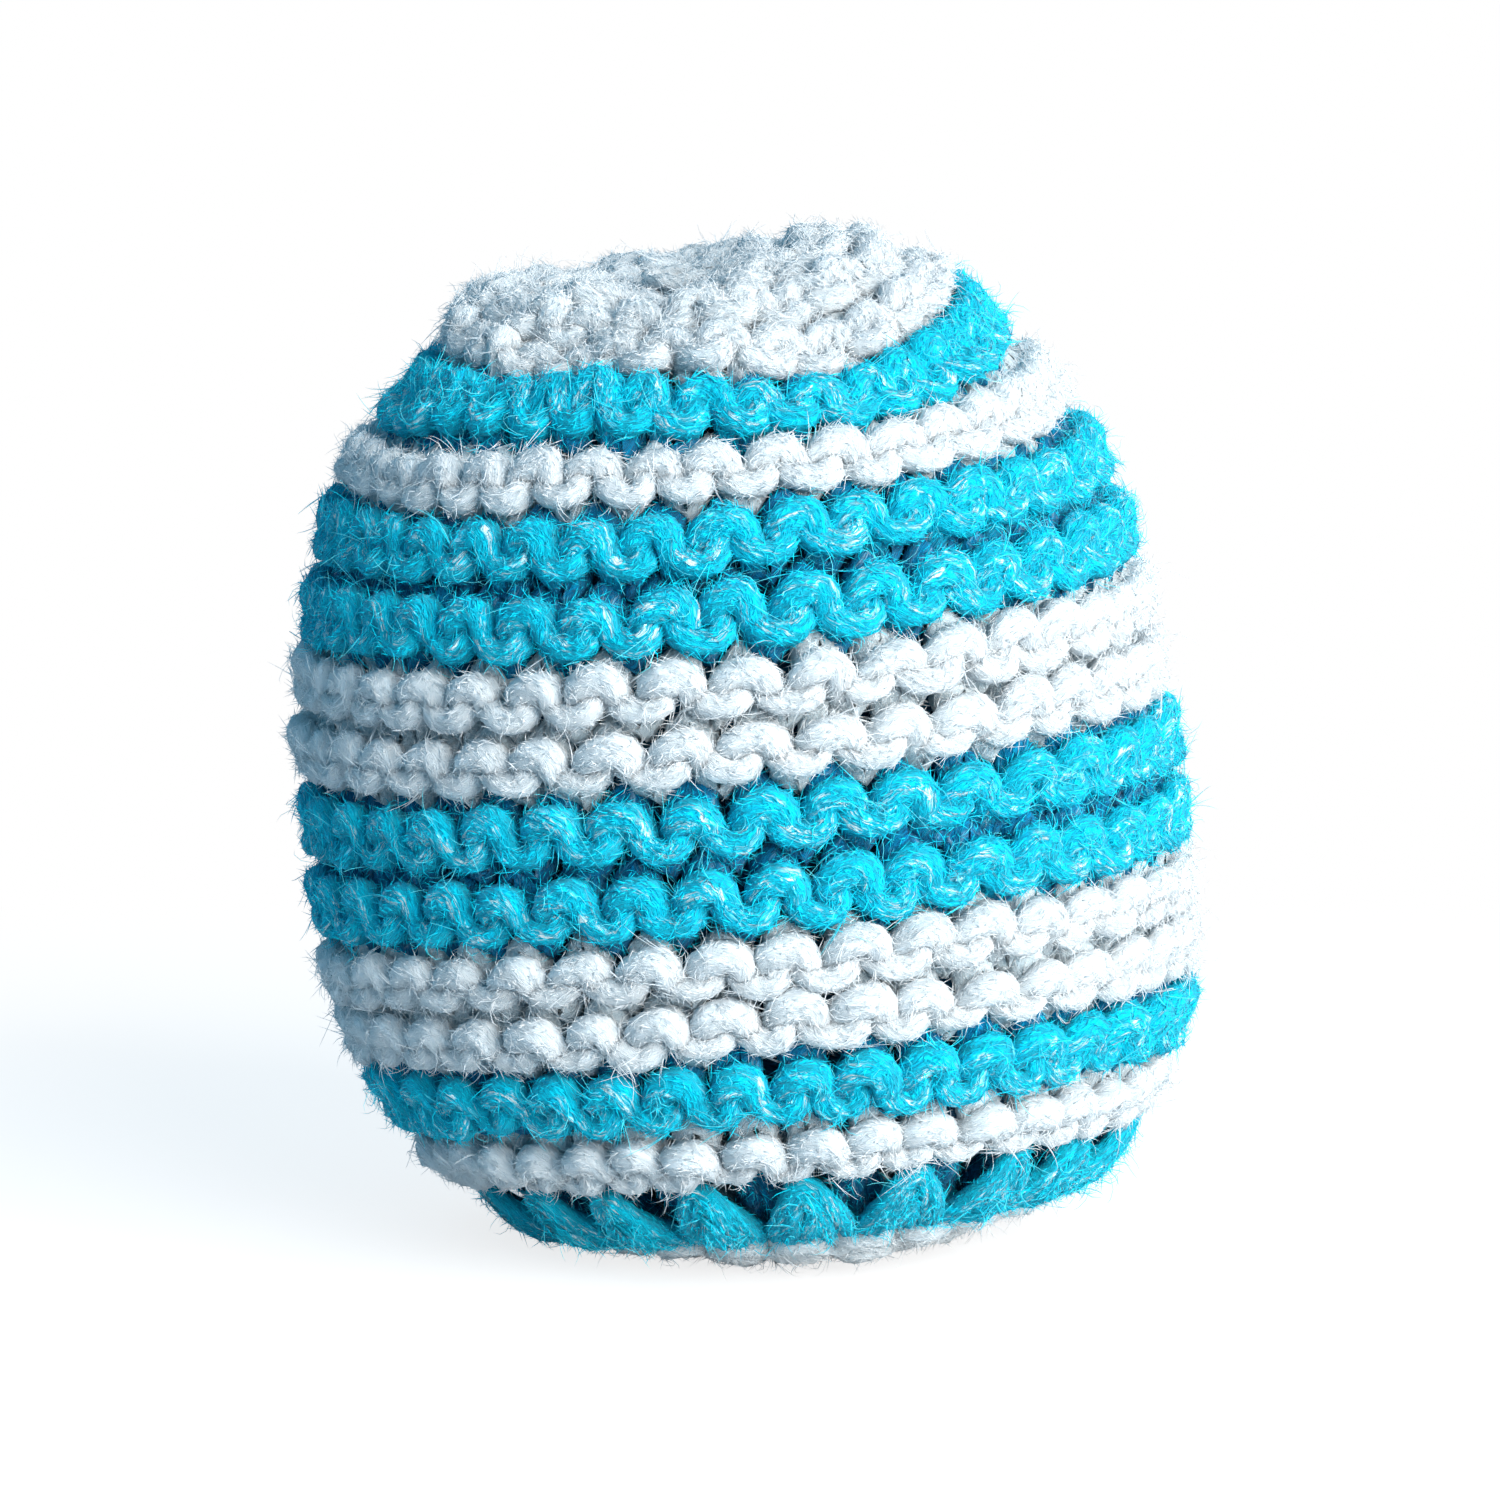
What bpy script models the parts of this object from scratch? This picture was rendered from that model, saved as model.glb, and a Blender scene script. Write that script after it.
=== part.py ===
"""Knitted footbag: a striped garter-stitch cover over a tied liner bag full of pellets.

Metres, +Z up. The footbag stands on its pressed-flat base with its front towards -Y.
The bag is first described upright and round about its knitting axis, with the widest ring at
height zero. Every point then goes through settled(), which slumps the bag forward and leans it
to the left, as a soft bag sits. One node is one length of yarn, cloth or filling.
"""

import bisect
import math

import bmesh
import bpy
from mathutils import Matrix, Vector

MM = 0.001

# The outline of the ridge tops, turned about the knitting axis
BELLY_RADIUS = 26.1 * MM
CROWN_RISE = 35.8 * MM
BASE_DROP = 25.5 * MM
CROWN_FULLNESS = 2.8
BASE_FULLNESS = 2.65

# How the soft bag sits: it slumps forward, leans and slips to the left, and is pressed flat below
SLUMP_RADIUS = 190.0 * MM
LEAN_DEGREES = 6.0
SLIP_SHARE = 0.035
PRESS_DEPTH = 1.4 * MM

# Its lumps: each one's share of the radius, waves round the bag, turn, and climb up the bag
LUMP_SHARES = ((0.030, 1, -1.5, -2.4), (0.016, 2, 2.1, 2.3), (0.004, 3, 2.1, -4.0))

# The knitted cover, with each ridge's profile as (share of its width, share of the valley depth)
COVER_THICKNESS = 4.2 * MM
VALLEY_DEPTH = 1.3 * MM
RIDGE_SHARES = ((0.2, 0.25), (0.5, 0.0), (0.8, 0.25))
CLEARANCE = 0.3 * MM

# The side seam at the back, where the knitted strip's two edges are sewn together
SEAM_ANGLE = math.radians(90)
SEAM_YARN_RADIUS = 0.9 * MM

# The drawn-in holes at the crown and the base, and the yarns that draw them in and are knotted
DRAW_HOLE_RADIUS = 2.6 * MM
DRAW_YARN_RADIUS = 0.5 * MM
CROWN_THREAD_DEPTH = 1.6 * MM
KNOT_YARN_RADIUS = 0.42 * MM

# The liner bag, its neck and the thread that ties it
LINER_THICKNESS = 0.6 * MM
CROWN_POCKET_RADIUS = 7.0 * MM
BASE_POCKET_RADIUS = 5.4 * MM
NECK_RADIUS = 1.7 * MM
NECK_HEIGHT = 2.6 * MM
TIE_RADIUS = 0.35 * MM

# The filling
PELLET_BUMP = 0.5 * MM
PELLET_WIDTH = 4.6 * MM

# Stripes from the crown down: name, finish, ridges, the share of the outline where the stripe ends
STRIPE_END_SHARES = (
    ("crown_cap", "white", 4, 0.192),
    ("cyan_stripe_top", "cyan", 1, 0.247),
    ("white_stripe_top", "white", 1, 0.291),
    ("cyan_stripe_upper", "cyan", 2, 0.392),
    ("white_stripe_upper", "white", 2, 0.479),
    ("cyan_stripe_lower", "cyan", 2, 0.579),
    ("white_stripe_lower", "white", 2, 0.661),
    ("cyan_stripe_bottom", "cyan", 1, 0.720),
    ("white_stripe_bottom", "white", 1, 0.767),
    ("cyan_stripe_base", "cyan", 1, 0.835),
    ("base_cap", "white", 3, 1.0),
)

# Base colour, roughness
FINISHES = {
    "cyan": ((0.012, 0.440, 0.640, 1.0), 0.85),
    "white": ((0.740, 0.820, 0.880, 1.0), 0.88),
    "liner": ((0.010, 0.045, 0.110, 1.0), 0.75),
    "thread": ((0.700, 0.720, 0.740, 1.0), 0.60),
    "pellet": ((0.780, 0.770, 0.720, 1.0), 0.35),
}

LEAN = Matrix.Rotation(-math.radians(LEAN_DEGREES), 3, "Y")
FLOOR_HEIGHT = -(BASE_DROP - PRESS_DEPTH)
OUTLINE_STEPS = 240

# How finely round shapes are faceted
BAND_SIDES = 40
BAG_SIDES = 28
RING_SIDES = 16
YARN_SIDES = 8
SIDE_STEPS = 12


def outline_table():
    """The outline from the crown's pole to the base's: (distance run so far, radius, height)."""
    table = []
    for step in range(OUTLINE_STEPS + 1):
        angle = math.pi * (0.5 - step / OUTLINE_STEPS)
        rise, fullness = (CROWN_RISE, CROWN_FULLNESS) if angle > 0 else (BASE_DROP, BASE_FULLNESS)
        radius = BELLY_RADIUS * max(0.0, math.cos(angle)) ** (2 / fullness)
        height = math.copysign(rise * abs(math.sin(angle)) ** (2 / fullness), angle)
        gone = table[-1][0] + math.hypot(radius - table[-1][1], height - table[-1][2]) if table else 0.0
        table.append((gone, radius, height))
    return table


OUTLINE = outline_table()
OUTLINE_RUNS = [row[0] for row in OUTLINE]
OUTLINE_LENGTH = OUTLINE_RUNS[-1]


def under_outline(run, depth):
    """Radius and height of the point that lies this deep under the outline, run along it."""
    after = min(max(bisect.bisect(OUTLINE_RUNS, run), 1), OUTLINE_STEPS)
    (run_a, radius_a, height_a), (run_b, radius_b, height_b) = OUTLINE[after - 1], OUTLINE[after]
    share = (run - run_a) / (run_b - run_a)
    along = Vector((radius_b - radius_a, height_b - height_a)).normalized()
    radius = radius_a + share * (radius_b - radius_a) + depth * along.y
    height = height_a + share * (height_b - height_a) - depth * along.x
    return radius, height


def run_at_radius(radius, from_base=False):
    """How far along the outline it has this radius, near the crown or near the base."""
    rows = OUTLINE[::-1] if from_base else OUTLINE
    for row_a, row_b in zip(rows, rows[1:]):
        if row_b[1] >= radius:
            share = (radius - row_a[1]) / (row_b[1] - row_a[1])
            return row_a[0] + share * (row_b[0] - row_a[0])
    return OUTLINE_LENGTH / 2


def settled(radius, angle, height):
    """A point of the upright, round bag, once its lumps, its slump and its lean are put in."""
    level = height / BELLY_RADIUS
    swell = 1.0 + sum(
        share * math.sin(waves * angle + turn + climb * level)
        for share, waves, turn, climb in LUMP_SHARES
    )
    x = radius * swell * math.cos(angle) - SLIP_SHARE * height
    y = radius * swell * math.sin(angle)
    reach = SLUMP_RADIUS + y
    swing = height / SLUMP_RADIUS
    return LEAN @ Vector((x, reach * math.cos(swing) - SLUMP_RADIUS, reach * math.sin(swing)))


def make_material(name):
    colour, roughness = FINISHES[name]
    material = bpy.data.materials.new(name)
    material.use_nodes = True
    shader = material.node_tree.nodes["Principled BSDF"]
    shader.inputs["Base Color"].default_value = colour
    shader.inputs["Roughness"].default_value = roughness
    shader.inputs["Metallic"].default_value = 0.0
    material.diffuse_color = colour


def add_object(name, data, finish, root):
    """Puts a mesh or a curve in the scene under the root, in its finish."""
    node = bpy.data.objects.new(name, data)
    bpy.context.scene.collection.objects.link(node)
    node.parent = root
    data.materials.append(bpy.data.materials[finish])
    return node


def mesh_of(name, bm, smooth_degrees=50):
    bmesh.ops.recalc_face_normals(bm, faces=bm.faces)
    mesh = bpy.data.meshes.new(name)
    bm.to_mesh(mesh)
    bm.free()
    mesh.shade_smooth()
    mesh.set_sharp_from_angle(angle=math.radians(smooth_degrees))
    return mesh


def open_band(name, finish, section, root):
    """A strip knitted flat and bent round into a C, its two ends facing each other at the seam.

    The section is a closed loop of (run, depth) points.
    """
    bm = bmesh.new()
    seam_half = SEAM_YARN_RADIUS + CLEARANCE
    columns = []
    for column in range(BAND_SIDES + 1):
        points = []
        for run, depth in section:
            radius, height = under_outline(run, depth)
            edge = math.asin(min(1.0, seam_half / radius))
            turn = edge + (2 * math.pi - 2 * edge) * column / BAND_SIDES
            points.append(bm.verts.new(settled(radius, SEAM_ANGLE + turn, height)))
        columns.append(points)
    for left, right in zip(columns, columns[1:]):
        for j in range(len(section)):
            bm.faces.new((left[j - 1], left[j], right[j], right[j - 1]))
    bm.faces.new(columns[0])
    bm.faces.new(columns[-1])
    return add_object(name, mesh_of(name, bm), finish, root)


def turned(name, finish, outline, count, root, bump=None):
    """A piece turned all round the knitting axis. A point of the outline on the axis is a pole."""
    bm = bmesh.new()
    rings = []
    for j, (radius, height) in enumerate(outline):
        if radius <= 0.0:
            rings.append([bm.verts.new(settled(0.0, 0.0, height))])
            continue
        ring = []
        for i in range(count):
            proud = bump(i, j) if bump else 0.0
            ring.append(bm.verts.new(settled(radius + proud, 2 * math.pi * i / count, height)))
        rings.append(ring)
    pairs = list(zip(rings, rings[1:]))
    if outline[0][0] > 0.0 and outline[-1][0] > 0.0:
        pairs.append((rings[-1], rings[0]))
    for upper, lower in pairs:
        for i in range(count):
            k = (i + 1) % count
            if len(upper) == 1:
                bm.faces.new((upper[0], lower[i], lower[k]))
            elif len(lower) == 1:
                bm.faces.new((upper[i], lower[0], upper[k]))
            else:
                bm.faces.new((upper[i], lower[i], lower[k], upper[k]))
    return add_object(name, mesh_of(name, bm), finish, root)


def band_section(top, bottom, ridges):
    """The cross-section of a band of ridges, with a valley between two of them."""
    width = (bottom - top) / ridges
    section = [(top, COVER_THICKNESS), (top, VALLEY_DEPTH)]
    for ridge in range(ridges):
        start = top + ridge * width
        for along, down in RIDGE_SHARES:
            section.append((start + along * width, down * VALLEY_DEPTH))
        section.append((start + width, VALLEY_DEPTH))
    section.append((bottom, COVER_THICKNESS))
    for ridge in range(ridges - 1, 0, -1):
        section.append((top + ridge * width, COVER_THICKNESS))
    return section


def make_cover(root):
    """The knitted cover: one band for each stripe, from the crown cap to the base cap."""
    top = run_at_radius(DRAW_HOLE_RADIUS)
    last = run_at_radius(DRAW_HOLE_RADIUS, from_base=True)
    bands = []
    for name, finish, ridges, end_share in STRIPE_END_SHARES:
        bottom = min(end_share * OUTLINE_LENGTH, last)
        section = band_section(top + CLEARANCE / 2, bottom - CLEARANCE / 2, ridges)
        bands.append(open_band(name, finish, section, root))
        top = bottom
    return bands


def press_flat(bands, root):
    """Cuts the soft base flat where it is pressed against the floor."""
    side = 4 * BELLY_RADIUS
    bpy.ops.mesh.primitive_cube_add(size=side, location=(0.0, 0.0, FLOOR_HEIGHT - side / 2))
    slab = bpy.context.object
    slab.name = "floor_cutter"
    slab.parent = root
    slab.hide_render = True
    slab.display_type = "WIRE"
    for band in bands:
        if min(vertex.co.z for vertex in band.data.vertices) < FLOOR_HEIGHT:
            cut = band.modifiers.new("pressed_flat", "BOOLEAN")
            cut.operation = "DIFFERENCE"
            cut.solver = "EXACT"
            cut.object = slab


def yarn_curve(name, finish, points, radius, root, cyclic=False):
    """A round yarn through these points."""
    curve = bpy.data.curves.new(name, "CURVE")
    curve.dimensions = "3D"
    curve.bevel_depth = radius
    curve.bevel_resolution = 1
    curve.use_fill_caps = not cyclic
    spline = curve.splines.new("POLY")
    spline.points.add(len(points) - 1)
    spline.use_cyclic_u = cyclic
    for target, point in zip(spline.points, points):
        target.co = (*point, 1.0)
    return add_object(name, curve, finish, root)


def make_seam(root):
    """The yarn that sews the cover's two edges together, from hole to hole."""
    first = run_at_radius(DRAW_HOLE_RADIUS) + SEAM_YARN_RADIUS
    last = run_at_radius(DRAW_HOLE_RADIUS, from_base=True) - SEAM_YARN_RADIUS
    depth = PRESS_DEPTH + CLEARANCE + SEAM_YARN_RADIUS
    steps = 3 * SIDE_STEPS
    points = []
    for i in range(steps + 1):
        radius, height = under_outline(first + (last - first) * i / steps, depth)
        points.append(settled(radius, SEAM_ANGLE, height))
    yarn_curve("side_seam_yarn", "white", points, SEAM_YARN_RADIUS, root)


def ring_section(radius, height, yarn_radius):
    """The round section of a yarn ring, as (radius, height) points."""
    section = []
    for i in range(YARN_SIDES):
        angle = 2 * math.pi * i / YARN_SIDES
        section.append(
            (radius + yarn_radius * math.cos(angle), height + yarn_radius * math.sin(angle))
        )
    return section


def draw_ring(name, height, root):
    """The yarn ring that was threaded through the last loops and drawn tight."""
    radius = DRAW_HOLE_RADIUS - CLEARANCE - DRAW_YARN_RADIUS
    turned(name, "white", ring_section(radius, height, DRAW_YARN_RADIUS), RING_SIDES, root)


def knot(name, height, root):
    """An overhand knot, pulled tight: a trefoil of yarn round the knitting axis."""
    unit = (DRAW_HOLE_RADIUS - CLEARANCE - KNOT_YARN_RADIUS) / 3
    points = []
    steps = 2 * RING_SIDES
    for i in range(steps):
        turn = 2 * math.pi * i / steps
        x = unit * (math.sin(turn) + 2 * math.sin(2 * turn))
        y = unit * (math.cos(turn) - 2 * math.cos(2 * turn))
        z = height - (KNOT_YARN_RADIUS + CLEARANCE) * math.sin(3 * turn)
        points.append(settled(math.hypot(x, y), math.atan2(y, x), z))
    yarn_curve(name, "white", points, KNOT_YARN_RADIUS, root, cyclic=True)


def closing_depths(thread_depth):
    """How deep under a pole the draw ring, the knot and the end of the knot lie."""
    knot_half = KNOT_YARN_RADIUS + CLEARANCE + KNOT_YARN_RADIUS
    knot_depth = thread_depth + DRAW_YARN_RADIUS + CLEARANCE + knot_half
    return thread_depth, knot_depth, knot_depth + knot_half


def base_thread_depth():
    """The base's draw ring lies this deep, so that it stays clear of the floor."""
    return PRESS_DEPTH + 2 * CLEARANCE + DRAW_YARN_RADIUS


def make_closings(root):
    """The draw rings and knots that close the crown and the base."""
    ring, tied, _ = closing_depths(CROWN_THREAD_DEPTH)
    draw_ring("crown_draw_yarn", CROWN_RISE - ring, root)
    knot("crown_knot", CROWN_RISE - tied, root)
    ring, tied, _ = closing_depths(base_thread_depth())
    draw_ring("base_draw_yarn", -BASE_DROP + ring, root)
    knot("base_knot", -BASE_DROP + tied, root)


def bag_outline(depth, top, base_floor):
    """The bag's outline at this depth: its top, down its side, and in under the base's knot."""
    first = run_at_radius(CROWN_POCKET_RADIUS)
    last = run_at_radius(BASE_POCKET_RADIUS, from_base=True)
    side = [
        under_outline(first + (last - first) * i / SIDE_STEPS, depth)
        for i in range(SIDE_STEPS + 1)
    ]
    return top + side + [(DRAW_HOLE_RADIUS + CLEARANCE, base_floor), (0.0, base_floor)]


def make_liner(rim, shoulder, base, root):
    """The liner bag, its open neck, and the thread tied round the neck."""
    skin = COVER_THICKNESS + CLEARANCE
    thin = LINER_THICKNESS
    bore = NECK_RADIUS - thin
    outside = bag_outline(skin, [(NECK_RADIUS, rim), (NECK_RADIUS, shoulder)], base)
    inside = bag_outline(skin + thin, [(bore, rim), (bore, shoulder - thin)], base + thin)
    turned("liner_bag", "liner", outside[::-1] + inside, BAG_SIDES, root)
    middle = (rim + shoulder) / 2
    tie = ring_section(NECK_RADIUS + CLEARANCE + TIE_RADIUS, middle, TIE_RADIUS)
    turned("liner_tie", "thread", tie, RING_SIDES, root)


def make_filling(shoulder, base, root):
    """The pellets, as one solid whose skin is as bumpy as the outermost of them."""
    skin = COVER_THICKNESS + CLEARANCE + LINER_THICKNESS + CLEARANCE + PELLET_BUMP
    top = shoulder - LINER_THICKNESS - CLEARANCE - PELLET_BUMP
    floor = base + LINER_THICKNESS + CLEARANCE + PELLET_BUMP
    outline = bag_outline(skin, [(0.0, top), (NECK_RADIUS, top)], floor)
    count = 2 * round(math.pi * BELLY_RADIUS / PELLET_WIDTH)
    turned(
        "pellet_filling", "pellet", outline, count, root,
        bump=lambda i, j: PELLET_BUMP if (i + j) % 2 else 0.0,
    )


def make_inside(root):
    """What the cover holds: the liner bag and the filling."""
    _, _, crown_taken = closing_depths(CROWN_THREAD_DEPTH)
    _, _, base_taken = closing_depths(base_thread_depth())
    rim = CROWN_RISE - max(crown_taken, COVER_THICKNESS) - CLEARANCE
    base = -BASE_DROP + max(base_taken, COVER_THICKNESS) + CLEARANCE
    make_liner(rim, rim - NECK_HEIGHT, base, root)
    make_filling(rim - NECK_HEIGHT, base, root)


def stand_on_floor(root):
    """Moves the root so that the pressed base is at height zero, under the centre of the bag."""
    bpy.context.view_layer.update()
    graph = bpy.context.evaluated_depsgraph_get()
    points = []
    for node in root.children:
        if node.hide_render:
            continue
        shape = node.evaluated_get(graph)
        points += [shape.matrix_world @ vertex.co for vertex in shape.to_mesh().vertices]
        shape.to_mesh_clear()
    low = [min(point[axis] for point in points) for axis in range(3)]
    high = [max(point[axis] for point in points) for axis in range(3)]
    root.location = (-(low[0] + high[0]) / 2, -(low[1] + high[1]) / 2, -low[2])


def main():
    for leftover in list(bpy.data.objects):
        bpy.data.objects.remove(leftover)
    for finish in FINISHES:
        make_material(finish)
    root = bpy.data.objects.new("footbag", None)
    bpy.context.scene.collection.objects.link(root)
    bands = make_cover(root)
    make_seam(root)
    make_closings(root)
    make_inside(root)
    press_flat(bands, root)
    stand_on_floor(root)


main()
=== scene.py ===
import math

import bpy
from mathutils import Matrix, Vector


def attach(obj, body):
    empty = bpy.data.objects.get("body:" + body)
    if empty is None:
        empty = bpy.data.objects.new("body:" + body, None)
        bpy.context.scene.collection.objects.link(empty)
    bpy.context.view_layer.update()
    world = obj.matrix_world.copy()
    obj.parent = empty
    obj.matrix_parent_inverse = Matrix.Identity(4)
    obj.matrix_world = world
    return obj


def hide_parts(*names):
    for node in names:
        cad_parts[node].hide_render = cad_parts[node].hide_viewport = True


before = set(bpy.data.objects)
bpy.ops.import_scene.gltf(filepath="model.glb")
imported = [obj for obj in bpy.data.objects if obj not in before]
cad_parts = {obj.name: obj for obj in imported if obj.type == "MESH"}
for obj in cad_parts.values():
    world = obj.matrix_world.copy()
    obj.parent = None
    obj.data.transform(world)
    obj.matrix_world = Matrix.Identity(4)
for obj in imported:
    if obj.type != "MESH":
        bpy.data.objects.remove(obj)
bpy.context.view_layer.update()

body = "root"
print("frame loaded:", len(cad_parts), "nodes")

bag = {                               # the shape that the CAD part has, in metres
    "bellyRadius": 0.0261, "crownRise": 0.0358, "baseDrop": 0.0255,
    "crownFullness": 2.8, "baseFullness": 2.65,
    "slumpRadius": 0.19, "leanDegrees": 6.0, "slipShare": 0.035,
    "lumps": ((0.030, 1, -1.5, -2.4), (0.016, 2, 2.1, 2.3), (0.004, 3, 2.1, -4.0)),     # share, waves, turn, climb
    "stand": (0.00057, 0.000385, 0.0241),     # where the knitting axis meets the belly
    "middle": (0, 0, 0.027), "seamDegrees": 90, "steps": 240,
}


def outlinePoints():                  # from crown to base, as radius and height on the knitting axis
    points = []
    for step in range(bag["steps"] + 1):
        angle = math.pi * (0.5 - step / bag["steps"])
        rise = bag["crownRise"] if angle > 0 else bag["baseDrop"]
        power = 2 / (bag["crownFullness"] if angle > 0 else bag["baseFullness"])
        radius = bag["bellyRadius"] * max(0.0, math.cos(angle)) ** power
        points.append((radius, math.copysign(rise * abs(math.sin(angle)) ** power, angle)))
    return points


outline = outlinePoints()
outlineLength = sum(math.dist(a, b) for a, b in zip(outline, outline[1:]))
lean = Matrix.Rotation(-math.radians(bag["leanDegrees"]), 3, "Y")


def underOutline(run, depth):         # radius and height at a run down the outline, some depth under it
    for a, b in zip(outline, outline[1:]):
        step = math.dist(a, b)
        if run <= step or b is outline[-1]:
            along = ((b[0] - a[0]) / step, (b[1] - a[1]) / step)
            return a[0] + along[0] * run + depth * along[1], a[1] + along[1] * run - depth * along[0]
        run -= step


def settled(radius, angle, height):   # a place in the lumpy, bent and leaning bag
    level = height / bag["bellyRadius"]
    swell = 1 + sum(share * math.sin(waves * angle + turn + climb * level)
                    for share, waves, turn, climb in bag["lumps"])
    x = radius * swell * math.cos(angle) - bag["slipShare"] * height
    reach = bag["slumpRadius"] + radius * swell * math.sin(angle)
    swing = height / bag["slumpRadius"]
    bent = Vector((x, reach * math.cos(swing) - bag["slumpRadius"], reach * math.sin(swing)))
    return lean @ bent + Vector(bag["stand"])


class Number:                         # a socket that adds, multiplies and so on by making the nodes for it
    def __init__(self, graph, socket):
        self.graph, self.socket = graph, socket

    def __add__(self, other): return self.graph.math("ADD", self, other)
    def __radd__(self, other): return self.graph.math("ADD", other, self)
    def __sub__(self, other): return self.graph.math("SUBTRACT", self, other)
    def __rsub__(self, other): return self.graph.math("SUBTRACT", other, self)
    def __mul__(self, other): return self.graph.math("MULTIPLY", self, other)
    def __truediv__(self, other): return self.graph.math("DIVIDE", self, other)
    def __pow__(self, other): return self.graph.math("POWER", self, other)
    def sine(self): return self.graph.math("SINE", self)
    def cosine(self): return self.graph.math("COSINE", self)
    def floor(self): return self.graph.math("FLOOR", self)
    def sign(self): return self.graph.math("SIGN", self)
    def most(self, other): return self.graph.math("MINIMUM", self, other)
    def least(self, other): return self.graph.math("MAXIMUM", self, other)


class Graph:
    def __init__(self, tree):
        self.tree = tree

    def node(self, kind, **settings):
        made = self.tree.nodes.new(kind)
        for name, value in settings.items():
            setattr(made, name, value)
        return made

    def feed(self, socket, value):
        if isinstance(value, Number):
            value = value.socket
        if isinstance(value, bpy.types.NodeSocket):
            self.tree.links.new(value, socket)
        else:
            socket.default_value = value

    def use(self, kind, values, **settings):     # a node with its inputs fed by name or number
        made = self.node(kind, **settings)
        for name, value in values.items():
            self.feed(made.inputs[name], value)
        return made

    def math(self, operation, *values):
        made = self.use("ShaderNodeMath", dict(enumerate(values)), operation=operation)
        return Number(self, made.outputs[0])

    def vector(self, operation, *values):
        made = self.use("ShaderNodeVectorMath", dict(enumerate(values)), operation=operation)
        if operation in ("DOT_PRODUCT", "LENGTH"):
            return Number(self, made.outputs["Value"])
        return made.outputs[0]

    def scaled(self, vector, factor):
        return self.use("ShaderNodeVectorMath", {0: vector, "Scale": factor}, operation="SCALE").outputs[0]

    def combine(self, x, y, z):
        return self.use("ShaderNodeCombineXYZ", {"X": x, "Y": y, "Z": z}).outputs[0]

    def split(self, vector):
        made = self.use("ShaderNodeSeparateXYZ", {"Vector": vector})
        return [Number(self, socket) for socket in made.outputs]

    def noiseNode(self, vector, scale=1.0, detail=0.0, roughness=0.5, distortion=0.0):
        values = {"Vector": vector, "Scale": scale, "Detail": detail}
        values.update({"Roughness": roughness, "Distortion": distortion})
        return self.use("ShaderNodeTexNoise", values, noise_dimensions="3D")

    def noise(self, *values):
        return Number(self, self.noiseNode(*values).outputs["Fac"])

    def eased(self, value, low, high):           # 0 below low, 1 above high, smooth between
        values = {"Value": value, "From Min": low, "From Max": high}
        return Number(self, self.use("ShaderNodeMapRange", values, interpolation_type="SMOOTHSTEP").outputs[0])

    def ramp(self, factor, stops):
        made = self.use("ShaderNodeValToRGB", {0: factor})
        marks = made.color_ramp.elements
        while len(marks) < len(stops):
            marks.new(0.5)
        for mark, (place, colour) in zip(marks, stops):
            mark.position, mark.color = place, (*colour, 1)
        return made.outputs[0]

    def mixed(self, factor, first, second, blend="MIX"):
        values = {0: factor}
        for number, colour in ((6, first), (7, second)):
            values[number] = (*colour, 1) if isinstance(colour, tuple) else colour
        return self.use("ShaderNodeMix", values, data_type="RGBA", blend_type=blend).outputs[2]

    def painted(self, name):                     # an attribute that a material reads
        return Number(self, self.node("ShaderNodeAttribute", attribute_name=name).outputs["Fac"])

    def bump(self, height, distance, strength):
        return self.use("ShaderNodeBump", {"Height": height, "Distance": distance, "Strength": strength}).outputs[0]

    def principled(self, values):
        shader = self.use("ShaderNodeBsdfPrincipled", values)
        self.use("ShaderNodeOutputMaterial", {"Surface": shader.outputs[0]})

    def field(self, name):
        return self.node("GeometryNodeInput" + name).outputs[0]

    def fromMiddle(self):                        # the direction out of the bag
        return self.vector("NORMALIZE", self.vector("SUBTRACT", self.field("Position"), bag["middle"]))

    def shapeOf(self, thing):
        return self.use("GeometryNodeObjectInfo", {"Object": thing}).outputs["Geometry"]

    def smoothCurve(self, curve):
        return self.use("GeometryNodeCurveSplineType", {"Curve": curve}, spline_type="CATMULL_ROM").outputs[0]

    def moved(self, geometry, **where):          # Position=... or Offset=...
        return self.use("GeometryNodeSetPosition", {"Geometry": geometry, **where}).outputs[0]

    def smoothShaded(self, geometry):
        return self.use("GeometryNodeSetShadeSmooth", {"Geometry": geometry}).outputs[0]

    def realised(self, geometry):
        return self.use("GeometryNodeRealizeInstances", {"Geometry": geometry}).outputs[0]

    def store(self, geometry, name, value, kind="FLOAT", domain="POINT"):
        values = {"Geometry": geometry, "Name": name, "Value": value}
        return self.use("GeometryNodeStoreNamedAttribute", values, data_type=kind, domain=domain).outputs[0]

    def storeVector(self, geometry, name, value):
        return self.store(geometry, name, value, "FLOAT_VECTOR")

    def storedVector(self, name, kind="FLOAT_VECTOR"):
        return self.use("GeometryNodeInputNamedAttribute", {"Name": name}, data_type=kind).outputs[0]

    def stored(self, name):
        return Number(self, self.storedVector(name, "FLOAT"))

    def random(self, low, high, seed):
        made = self.use("FunctionNodeRandomValue", {2: low, 3: high, "Seed": seed}, data_type="FLOAT")
        return Number(self, made.outputs[1])


def addObject(name, data):
    made = bpy.data.objects.new(name, data)
    bpy.context.scene.collection.objects.link(made)
    return made


def emptyGraph(owner):                # the cleared node tree of a material or a world
    owner.use_nodes = True
    owner.node_tree.nodes.clear()
    return Graph(owner.node_tree)


def newMaterial(name):
    material = bpy.data.materials.new(name)
    return material, emptyGraph(material)


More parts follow.
